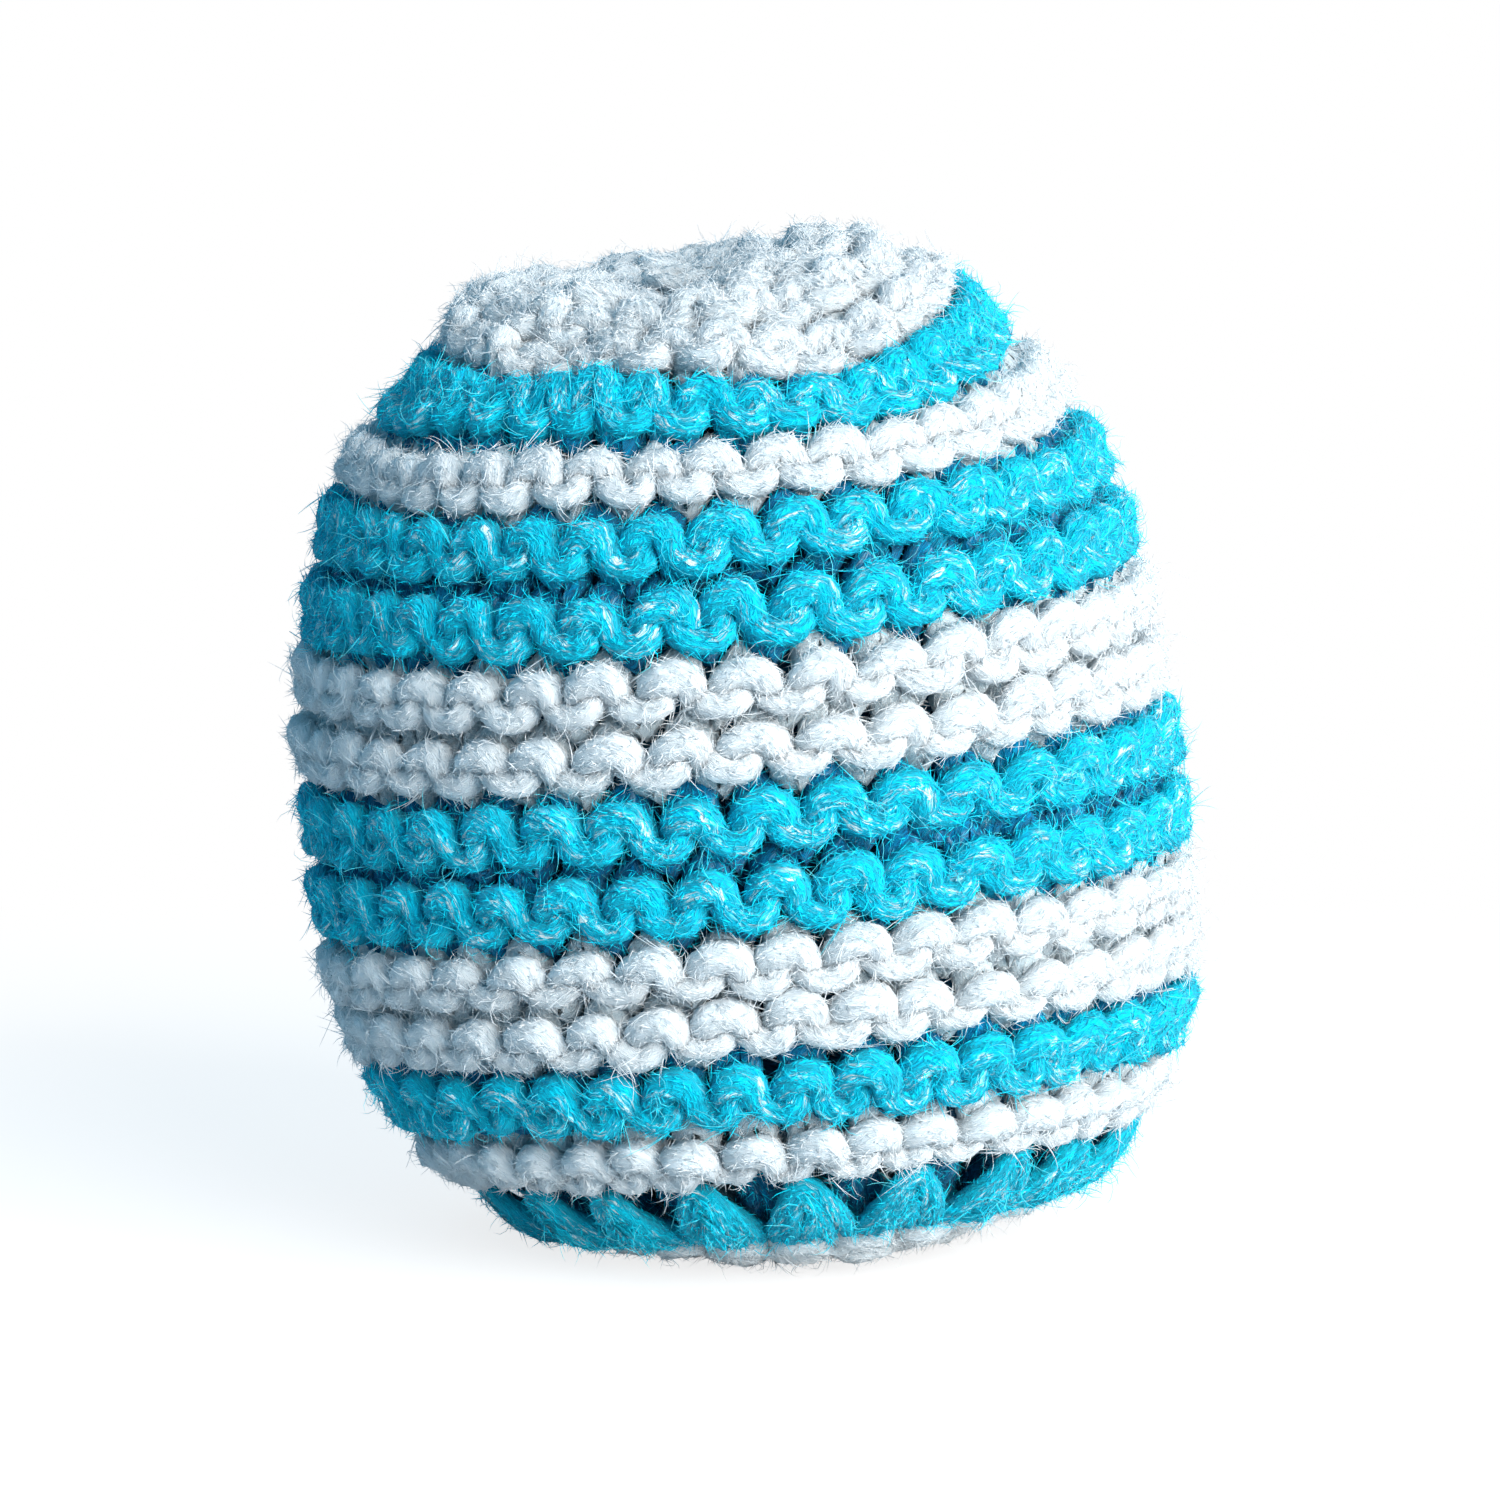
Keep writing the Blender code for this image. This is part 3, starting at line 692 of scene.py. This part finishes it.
def makeStrandTree():                                      # a plied strand along any drawn path
    graph = geometryGraph("plied_strand", {
        "Object": ("Path",), "Float": ("Strand Radius", "Point Gap", "Turns", "Seed"),
    })
    given = graph.given
    even = {"Curve": graph.smoothCurve(graph.shapeOf(given["Path"])), "Length": given["Point Gap"]}
    path = graph.use("GeometryNodeResampleCurve", even, mode="LENGTH").outputs[0]
    place = graph.node("GeometryNodeSplineParameter")
    share, length = (Number(graph, place.outputs[name]) for name in ("Factor", "Length"))
    path = graph.store(path, "sunk", laidStrand["sunk"])
    path = graph.storeVector(path, "flow", graph.field("Tangent"))
    path = graph.store(path, "along", length + given["Seed"])
    twist = share * given["Turns"] * (2 * math.pi / knitting["plies"])
    path = graph.use("GeometryNodeSetCurveTilt", {"Curve": path, "Tilt": twist}).outputs[0]
    wave = graph.noise(graph.combine(length * laidStrand["waveScale"], given["Seed"], 0.0))
    thick = wave * laidStrand["swell"] + laidStrand["thinnest"]
    return finishTree(graph, strandSurface(graph, path, thick, given["Strand Radius"]))


strandTree = makeStrandTree()
strandPieces = {}


def layStrand(node, name, points, radius, slot="white_yarn", closed=False):
    path = makeGuide(name + "_path", [[(*point, 1) for point in points]])
    path.data.splines[0].use_cyclic_u = closed
    length = sum(math.dist(a, b) for a, b in zip(points, points[1:]))
    turns = round(length * knitting["twistPerMetre"] * 0.001 / radius * knitting["plies"] / (2 * math.pi))
    mesh = runTree(name, strandTree, {
        "Path": path, "Strand Radius": radius, "Point Gap": radius * laidStrand["pointGap"], "Turns": float(turns),
        "Seed": len(name) * 0.37, "Material": strandMaterials[slot],
    })
    bpy.data.objects.remove(path)
    strandPieces[node] = placePiece(name, mesh, [node])
    print(name, len(mesh.polygons), "faces")


seam = {                              # the yarn that laces the cover's two edges together at the back
    "radius": 0.00088, "rungs": 38, "firstShare": 0.034, "lastShare": 0.966, "reachDegrees": 3.4, "widest": 1.6,
    "topDepth": 0.0009, "underDepth": 0.0027, "slant": 0.0005, "crownDepth": 0.0012, "crownShare": 0.2,
}
gathers = {                           # the drawn-up ends of the cover's yarn, and the knots inside them
    "ringRadius": 0.0018, "ringYarn": 0.0005, "ringWaves": 5, "ringSwing": 0.00012,
    "crownLevel": 0.0336, "baseLevel": -0.0230,
    "knotSize": 0.000627, "knotRise": 0.00072, "knotYarn": 0.00042, "crownKnot": 0.03226, "baseKnot": -0.02106,
}
tie = {"radius": 0.00225, "thread": 0.00030, "turns": 2.5, "level": 0.02952, "climb": 0.0009, "waist": 0.00012}


def onBag(degrees, share, depth):     # a point under the sagging cover, kept above the floor
    angle, run = math.radians(degrees), share * outlineLength
    for place, at, width, runWidth, shift, raised in droops:
        weight = math.exp((math.cos(angle - place) * 2 - 2) / width ** 2 - ((run - at) / runWidth) ** 2)
        run += weight * shift
        depth -= weight * raised
    radius, height = underOutline(run, depth)
    point = settled(radius, angle, height)
    point.z = max(point.z, seam["radius"] + 0.0001)
    return point


def seamPath():
    points = []
    for rung in range(seam["rungs"]):
        share = seam["firstShare"] + (seam["lastShare"] - seam["firstShare"]) * rung / (seam["rungs"] - 1)
        radius = underOutline(share * outlineLength, 0)[0]
        reach = seam["reachDegrees"] * min(seam["widest"], bag["bellyRadius"] / radius)
        side = 1 if rung % 2 else -1
        sunk = seam["crownDepth"] * max(0.0, 1 - share / seam["crownShare"])
        for turn, depth in ((-1.0, "underDepth"), (-0.45, "topDepth"), (0.45, "topDepth"), (1.0, "underDepth")):
            slant = turn * seam["slant"] / outlineLength
            points.append(onBag(bag["seamDegrees"] + side * turn * reach, share + slant, seam[depth] + sunk))
    return points


def turnsOf(count):
    return [2 * math.pi * step / count for step in range(count)]


def ringPath(level, count=48):
    waves, swing = gathers["ringWaves"], gathers["ringSwing"]
    return [settled(gathers["ringRadius"], t, level + swing * math.sin(waves * t)) for t in turnsOf(count)]


def knotPath(level, count=72):        # a trefoil
    points = []
    for t in turnsOf(count):
        x = gathers["knotSize"] * (math.sin(t) + 2 * math.sin(2 * t))
        y = gathers["knotSize"] * (math.cos(t) - 2 * math.cos(2 * t))
        points.append(settled(math.hypot(x, y), math.atan2(y, x), level - gathers["knotRise"] * math.sin(3 * t)))
    return points


def tiePath(count=90):
    points = []
    for share in (step / count for step in range(count + 1)):
        radius = tie["radius"] - tie["waist"] * math.sin(math.pi * share)
        points.append(settled(radius, 2 * math.pi * tie["turns"] * share, tie["level"] + tie["climb"] * (share - 0.5)))
    return points


layStrand("side_seam_yarn", "side_seam_lacing", seamPath(), seam["radius"])
for node, name, points, radius in (
    ("crown_draw_yarn", "crown_gather", ringPath(gathers["crownLevel"]), gathers["ringYarn"]),
    ("base_draw_yarn", "base_gather", ringPath(gathers["baseLevel"]), gathers["ringYarn"]),
    ("crown_knot", "crown_tied_knot", knotPath(gathers["crownKnot"]), gathers["knotYarn"]),
    ("base_knot", "base_tied_knot", knotPath(gathers["baseKnot"]), gathers["knotYarn"]),
):
    layStrand(node, name, points, radius, closed=True)
layStrand("liner_tie", "liner_neck_tie", tiePath(), tie["thread"], "tie_thread")


liner = {                             # the cloth bag inside, with its weave's thread spacing
    "skinDepth": 0.0045, "wall": 0.0006, "fill": 0.85,
    "around": 168, "rows": 78, "firstShare": 0.93, "shareSpan": 0.86,     # of the outline, from the base up
    "neckRadius": 0.00150, "rimRadius": 0.0019, "rimLevel": 0.03075, "shoulderLevel": 0.02822, "baseLevel": -0.01962,
    "gathers": 15, "gatherDepth": 0.10, "gatherFrom": 0.018, "gatherRise": 0.010,
    "puckers": 0.00028, "puckerRadius": 0.012, "thread": 0.00042,
    "slub": (0.0004, 0.006), "wobble": 0.004, "bump": 0.00012, "bumpStrength": 0.8,
    "dark": (0.018, 0.112, 0.215), "mid": (0.035, 0.195, 0.345), "light": (0.064, 0.275, 0.450),
    "sheen": 0.15, "specular": 0.15, "roughness": 0.85,
}


def makeClothMaterial():
    material, graph = newMaterial("liner_plain_weave")
    u, v, _ = graph.split(graph.node("ShaderNodeUVMap", uv_map="weave").outputs[0])
    wobble = graph.noise(graph.combine(u / liner["wobble"], v / liner["wobble"], 0.0), 1.0, 2.0) - 0.5
    wave = math.pi / liner["thread"]
    over = (u * wave + wobble).sine() * (v * wave + wobble).sine()         # where warp lies over weft
    narrow, long = liner["slub"]
    slub = graph.noise(graph.combine(u / narrow, v / long, 2.0), 1.0, 3.0)
    slub = slub + graph.noise(graph.combine(u / long, v / narrow, 7.0), 1.0, 3.0)
    tone = over * 0.16 + slub * 0.5
    graph.principled({
        "Base Color": graph.ramp(tone, ((0.36, liner["dark"]), (0.52, liner["mid"]), (0.70, liner["light"]))),
        "Normal": graph.bump(over * 0.5 + slub * 0.25, liner["bump"], liner["bumpStrength"]),
        "Roughness": liner["roughness"], "Sheen Weight": liner["sheen"], "Specular IOR Level": liner["specular"],
    })
    return material


def linerProfile(inside):                                  # from the base's middle up to the rim, as radius and height
    wall = liner["wall"] if inside else 0.0
    points = [(0.0, liner["baseLevel"] + wall)]
    for step in range(liner["rows"]):
        share = liner["firstShare"] - liner["shareSpan"] * step / (liner["rows"] - 1)
        radius, height = underOutline(outlineLength * share, liner["skinDepth"] + wall)
        if liner["baseLevel"] < height < liner["shoulderLevel"] and radius > points[-1][0] * 0.35:
            points.append((radius, height))
    top = points[-1]
    neck = liner["neckRadius"] - wall
    for share in (0.25, 0.5, 0.72, 0.88, 1.0):             # drawn in under the tie
        swing = math.sin(share * math.pi / 2)
        rise = (tie["level"] - tie["thread"] - top[1]) * share ** 1.6
        points.append((top[0] + (neck - top[0]) * swing, top[1] + rise))
    for share in (0.4, 0.75, 1.0):                         # and frilled above it
        radius = neck + (liner["rimRadius"] - liner["neckRadius"]) * share
        points.append((radius, tie["level"] + (liner["rimLevel"] - tie["level"]) * share))
    return points


def puckered(radius, angle, height):                       # the cloth's own radius, gathered above and puckered below
    drawn = min(1.0, max(0.0, (height - liner["gatherFrom"]) / liner["gatherRise"]))
    pleat = math.sin(liner["gathers"] * angle + 0.8 * math.sin(3 * angle)) * liner["gatherDepth"] * drawn ** 2
    pucker = math.sin(9 * angle + height * 900) * math.sin(7 * angle - height * 1300 + 1.0)
    pucker += 0.6 * math.sin(17 * angle + 2 * math.sin(height * 1500))
    raised = liner["puckers"] * pucker * (1 - drawn) * min(1.0, radius / liner["puckerRadius"])
    return max(radius * (1 + pleat) + raised - liner["puckers"] * 0.6, 0.0)


def makeLiner():
    rows = linerProfile(False) + linerProfile(True)[::-1]
    around, last = liner["around"], len(rows) - 1
    points, faces, cloth, spans = [], [], [], [0.0]
    for number, (radius, height) in enumerate(rows):
        if number:
            spans.append(spans[-1] + math.dist(rows[number - 1], rows[number]))
        for step in range(around if 0 < number < last else 1):
            angle = 2 * math.pi * step / around
            points.append(settled(puckered(radius, angle, height) if radius else 0.0, angle, height))

    def index(row, step):
        if row in (0, last):
            return 0 if row == 0 else len(points) - 1
        return 1 + (row - 1) * around + step % around

    def flat(row, step):
        return 2 * math.pi * step / around * max(rows[row][0], 0.004), spans[row]

    for row in range(last):
        for step in range(around):
            corners = ((row, step), (row, step + 1), (row + 1, step + 1), (row + 1, step))
            if row == 0:
                corners = corners[1:]
            elif row == last - 1:
                corners = corners[:3]
            faces.append([index(*corner) for corner in corners])
            cloth.extend(flat(*corner) for corner in corners)
    mesh = bpy.data.meshes.new("liner_cloth_bag")
    mesh.from_pydata(points, [], faces)
    weave = mesh.uv_layers.new(name="weave")
    for loop, place in zip(weave.data, cloth):
        loop.uv = place
    mesh.materials.append(makeClothMaterial())
    mesh.shade_smooth()
    piece = placePiece("liner_cloth_bag", mesh, ["liner_bag"])
    print("liner", len(faces), "faces")


makeLiner()


pellets = {                           # packed against the liner, over a closed heart
    "skinDepth": 0.0059, "width": 0.0041, "sunkShare": 0.42, "flatness": 0.72,
    "apart": 0.0033, "mostPerSquareMetre": 400000.0, "smallest": 0.90, "largest": 1.05,
    "around": 72, "rows": 40, "firstShare": 0.90, "shareSpan": 0.78, "topLevel": 0.0265,
    "colour": (0.76, 0.75, 0.72), "tint": (0.62, 0.63, 0.60), "roughness": 0.38, "specular": 0.5,
    "cloudScale": 900.0, "bump": 0.00005, "bumpStrength": 0.4,
}


def makePelletMaterial():
    material, graph = newMaterial("moulding_pellets")
    cloud = graph.noise(graph.node("ShaderNodeTexCoord").outputs["Object"], pellets["cloudScale"], 2.0)
    graph.principled({
        "Base Color": graph.mixed(graph.painted("shade") * 0.7 + cloud * 0.3, pellets["tint"], pellets["colour"]),
        "Normal": graph.bump(cloud, pellets["bump"], pellets["bumpStrength"]),
        "Roughness": pellets["roughness"], "Specular IOR Level": pellets["specular"],
    })
    return material


def makePelletTree():
    graph = geometryGraph("packed_pellets", {
        "Object": ("Heart",), "Float": ("Apart", "Width", "Flatness"), "Int": ("Seed",),
    })
    given, seed = graph.given, graph.given["Seed"]
    heart = graph.shapeOf(given["Heart"])
    spread = {"Mesh": heart, "Distance Min": given["Apart"], "Density Max": pellets["mostPerSquareMetre"], "Seed": seed}
    points = graph.use("GeometryNodeDistributePointsOnFaces", spread, distribute_method="POISSON").outputs["Points"]
    points = graph.store(points, "shade", graph.random(0.0, 1.0, seed + 4))
    ball = graph.use("GeometryNodeMeshIcoSphere", {"Radius": given["Width"] * 0.5, "Subdivisions": 2}).outputs[0]
    squashed = {"Geometry": ball, "Scale": graph.combine(1.0, 1.0, given["Flatness"])}
    turned = graph.use("FunctionNodeRandomValue", {1: (6.28, 6.28, 6.28), "Seed": seed + 9}, data_type="FLOAT_VECTOR")
    beans = graph.use("GeometryNodeInstanceOnPoints", {
        "Points": points, "Instance": graph.use("GeometryNodeTransform", squashed).outputs[0],
        "Rotation": turned.outputs[0], "Scale": graph.random(pellets["smallest"], pellets["largest"], seed + 14),
    }).outputs[0]
    both = graph.node("GeometryNodeJoinGeometry")
    for geometry in (beans, heart):
        graph.feed(both.inputs[0], geometry)
    return finishTree(graph, graph.smoothShaded(both.outputs[0]))


def makeHeart():
    around, count = pellets["around"], pellets["rows"]
    depth = pellets["skinDepth"] + pellets["width"] * pellets["sunkShare"]
    shares = [pellets["firstShare"] - pellets["shareSpan"] * row / (count - 1) for row in range(count)]
    profile = [underOutline(outlineLength * share, depth) for share in shares]
    profile = [(r, h) for r, h in profile if r > 0.001 and h < pellets["topLevel"]]
    points = [settled(0, 0, profile[0][1])]
    points += [settled(r, 2 * math.pi * step / around, h) for r, h in profile for step in range(around)]
    points.append(settled(0, 0, profile[-1][1]))
    faces = [[0, 1 + (step + 1) % around, 1 + step] for step in range(around)]
    for row in range(len(profile) - 1):
        a, b = 1 + row * around, 1 + (row + 1) * around
        faces += [[a + step, a + (step + 1) % around, b + (step + 1) % around, b + step] for step in range(around)]
    top = 1 + (len(profile) - 1) * around
    faces += [[top + step, top + (step + 1) % around, len(points) - 1] for step in range(around)]
    mesh = bpy.data.meshes.new("pellet_heart")
    mesh.from_pydata(points, [], faces)
    return addObject("pellet_heart", mesh)


def makePellets():
    heart = makeHeart()
    packed = runTree("packed_pellets", makePelletTree(), {
        "Heart": heart, "Apart": pellets["apart"], "Width": pellets["width"], "Flatness": pellets["flatness"],
        "Seed": 5, "Material": makePelletMaterial(),
    })
    bpy.data.objects.remove(heart)
    placePiece("packed_pellets", packed, ["pellet_filling"])
    print("pellets", len(packed.polygons), "faces")


makePellets()


fibres = {                            # the nap, fibres lying close to the strand, and those straying from it
    "nap": {"part": "nap", "perSquareMetre": 7.2e6, "length": 0.00095, "radius": 0.000032, "stations": 2,
            "lift": 0.46, "curl": 0.4, "stray": 0.80},
    "close": {"part": "nap", "perSquareMetre": 0.60e6, "length": 0.0022, "radius": 0.000027, "stations": 4,
              "lift": 0.14, "curl": 2.4, "stray": 0.9},
    "loose": {"part": "hair", "perSquareMetre": 0.39e6, "length": 0.0033, "radius": 0.000017, "stations": 6,
              "lift": 0.08, "curl": 4.8, "stray": 1.2},
}
fuzz = {                              # how many more or fewer of them a piece has
    "crown_cap": 1.7, "cyan_stripe_top": 1.25, "white_stripe_top": 1.1, "base_cap": 0.8,
    "cyan_stripe_base": 0.95, "others": 1.0,
}
growth = {                            # where they grow on a strand, and how they leave it
    "crestGain": 0.6, "evenShare": 0.55, "sunkLoss": 0.55, "frontGain": 16.0,
    "leastCurl": 0.15, "rootDepth": 0.00002, "floorGap": 0.0001,
}


# one hair along X, a metre long, three-sided, closed and pointed; one of two stations keeps its blunt root
def makeHairGuide(stations):
    rings = [station / (stations - 1) for station in range(1, stations - 1)] or [0.0]
    points = [(0.0, 0.0, 0.0)]
    points += [(share, math.cos(turn), math.sin(turn)) for share in rings for turn in turnsOf(3)]
    points.append((1.0, 0.0, 0.0))
    tip = len(points) - 1
    faces = [(3, 2, 1)] if stations == 2 else [(0, 1 + (corner + 1) % 3, 1 + corner) for corner in range(3)]
    for ring in range(len(rings) - 1):
        a, b = 1 + ring * 3, 4 + ring * 3
        faces += [(a + corner, a + (corner + 1) % 3, b + (corner + 1) % 3, b + corner) for corner in range(3)]
    faces += [(tip - 3 + corner, tip - 3 + (corner + 1) % 3, tip) for corner in range(3)]
    if stations == 2:
        points, faces = points[1:], [tuple(corner - 1 for corner in face) for face in faces]
    mesh = bpy.data.meshes.new("hair_guide")
    mesh.from_pydata(points, [], faces)
    return addObject("hair_guide", mesh)


def makeFibreTree():
    graph = geometryGraph("yarn_fibres", {
        "Object": ("Yarn", "Hair"), "Int": ("Seed",),
        "Float": ("Density", "Length", "Fibre Radius", "Lift", "Curl", "Stray"),
    })
    given, seed = graph.given, graph.given["Seed"]
    position = graph.field("Position")
    facing = graph.vector("DOT_PRODUCT", graph.field("Normal"), graph.fromMiddle())
    chance = (facing * growth["crestGain"] + growth["evenShare"]).least(0.0).most(1.0)
    chance = chance * (graph.stored("sunk") * -growth["sunkLoss"] + 1.0)
    chance = chance * (graph.split(position)[1] * -growth["frontGain"] + 1.0)      # more on the side looked at most
    spread = {"Mesh": graph.shapeOf(given["Yarn"]), "Density": given["Density"] * chance, "Seed": seed}
    points = graph.use("GeometryNodeDistributePointsOnFaces", spread, distribute_method="RANDOM")
    away = points.outputs["Normal"]
    roots = graph.storeVector(points.outputs["Points"], "root", position)
    roots = graph.storeVector(roots, "away", away)
    scatter = graph.combine(*(graph.random(-1.0, 1.0, seed + number) for number in (21, 22, 23)))
    flow = graph.scaled(graph.storedVector("flow"), graph.random(-1.0, 1.0, seed + 24).sign())
    strays = graph.scaled(scatter, given["Stray"] * graph.random(0.1, 1.6, seed + 25))
    course = graph.vector("ADD", flow, strays)
    side = graph.vector("NORMALIZE", graph.vector("CROSS_PRODUCT", away, course))
    roots = graph.storeVector(roots, "side", side)
    roots = graph.store(roots, "rise", graph.random(0.0, 1.0, seed + 3) ** 1.5)
    roots = graph.store(roots, "size", graph.random(0.35, 1.0, seed + 5))
    roots = graph.store(roots, "bend", graph.random(-1.0, 1.0, seed + 9))
    hair = graph.storeVector(graph.shapeOf(given["Hair"]), "shape", graph.field("Position"))
    hairs = graph.realised(graph.use("GeometryNodeInstanceOnPoints", {"Points": roots, "Instance": hair}).outputs[0])

    share, rimSide, rimOut = graph.split(graph.storedVector("shape"))
    size, rise = graph.stored("size") * given["Length"], graph.stored("rise")
    swing = graph.stored("bend") * given["Curl"]
    swing = swing + swing.sign() * growth["leastCurl"]     # never quite straight
    turn = swing * share
    arc = size / swing                                     # each fibre is an arc, lifting off the strand
    thick = given["Fibre Radius"] * (share * -0.5 + 1.2)
    ahead = arc * turn.sine() - rimSide * thick * turn.sine()
    aside = arc * (1.0 - turn.cosine()) + rimSide * thick * turn.cosine()
    rising = share * (rise * 1.7 + 0.30) - share * share * (0.25 - rise * 0.1)
    lift = size * given["Lift"] * rising - growth["rootDepth"] + rimOut * thick
    away, sideways = graph.storedVector("away"), graph.storedVector("side")
    forwards, place = graph.vector("CROSS_PRODUCT", sideways, away), graph.storedVector("root")
    for direction, distance in ((forwards, ahead), (sideways, aside), (away, lift)):
        place = graph.vector("ADD", place, graph.scaled(direction, distance))
    px, py, pz = graph.split(place)
    hairs = graph.moved(hairs, Position=graph.combine(px, py, pz.least(growth["floorGap"])))
    return finishTree(graph, graph.smoothShaded(hairs))


fibreTree = makeFibreTree()


def dropAttributes(mesh, names):
    for name in names.split():
        if name in mesh.attributes:
            mesh.attributes.remove(mesh.attributes[name])


def growFibres():
    total = 0
    used = "root away side rise size bend shape sunk row stitch loop thickness along rim flow crest id"
    napped = {**stripePieces, **{node: strandPieces[node] for node in ("side_seam_yarn", "crown_draw_yarn")}}
    for kind, sizes in fibres.items():
        hair = makeHairGuide(sizes["stations"])
        for number, (name, piece) in enumerate(napped.items()):
            slot = stripes[name][0] if name in stripes else "white_yarn"
            mesh = runTree(name + "_fibres", fibreTree, {
                "Yarn": piece, "Hair": hair, "Density": sizes["perSquareMetre"] * fuzz.get(name, fuzz["others"]),
                "Length": sizes["length"], "Fibre Radius": sizes["radius"], "Lift": sizes["lift"],
                "Curl": sizes["curl"], "Stray": sizes["stray"],
                "Seed": 11 + number, "Material": hairMaterials[slot, sizes["part"]],
            })
            dropAttributes(mesh, used)
            placePiece(name + "_" + kind + "_fibres", mesh)
            triangles = sum(len(face.vertices) - 2 for face in mesh.polygons)
            total += triangles
            print(name, kind, "fibres", triangles, "triangles")
        bpy.data.objects.remove(hair)
    print("fibre triangles", total)


growFibres()
for piece in (*stripePieces.values(), *strandPieces.values()):
    dropAttributes(piece.data, "row stitch flow loop thickness")
bpy.data.objects.remove(outlineGuide)
bpy.data.objects.remove(loopGuide)
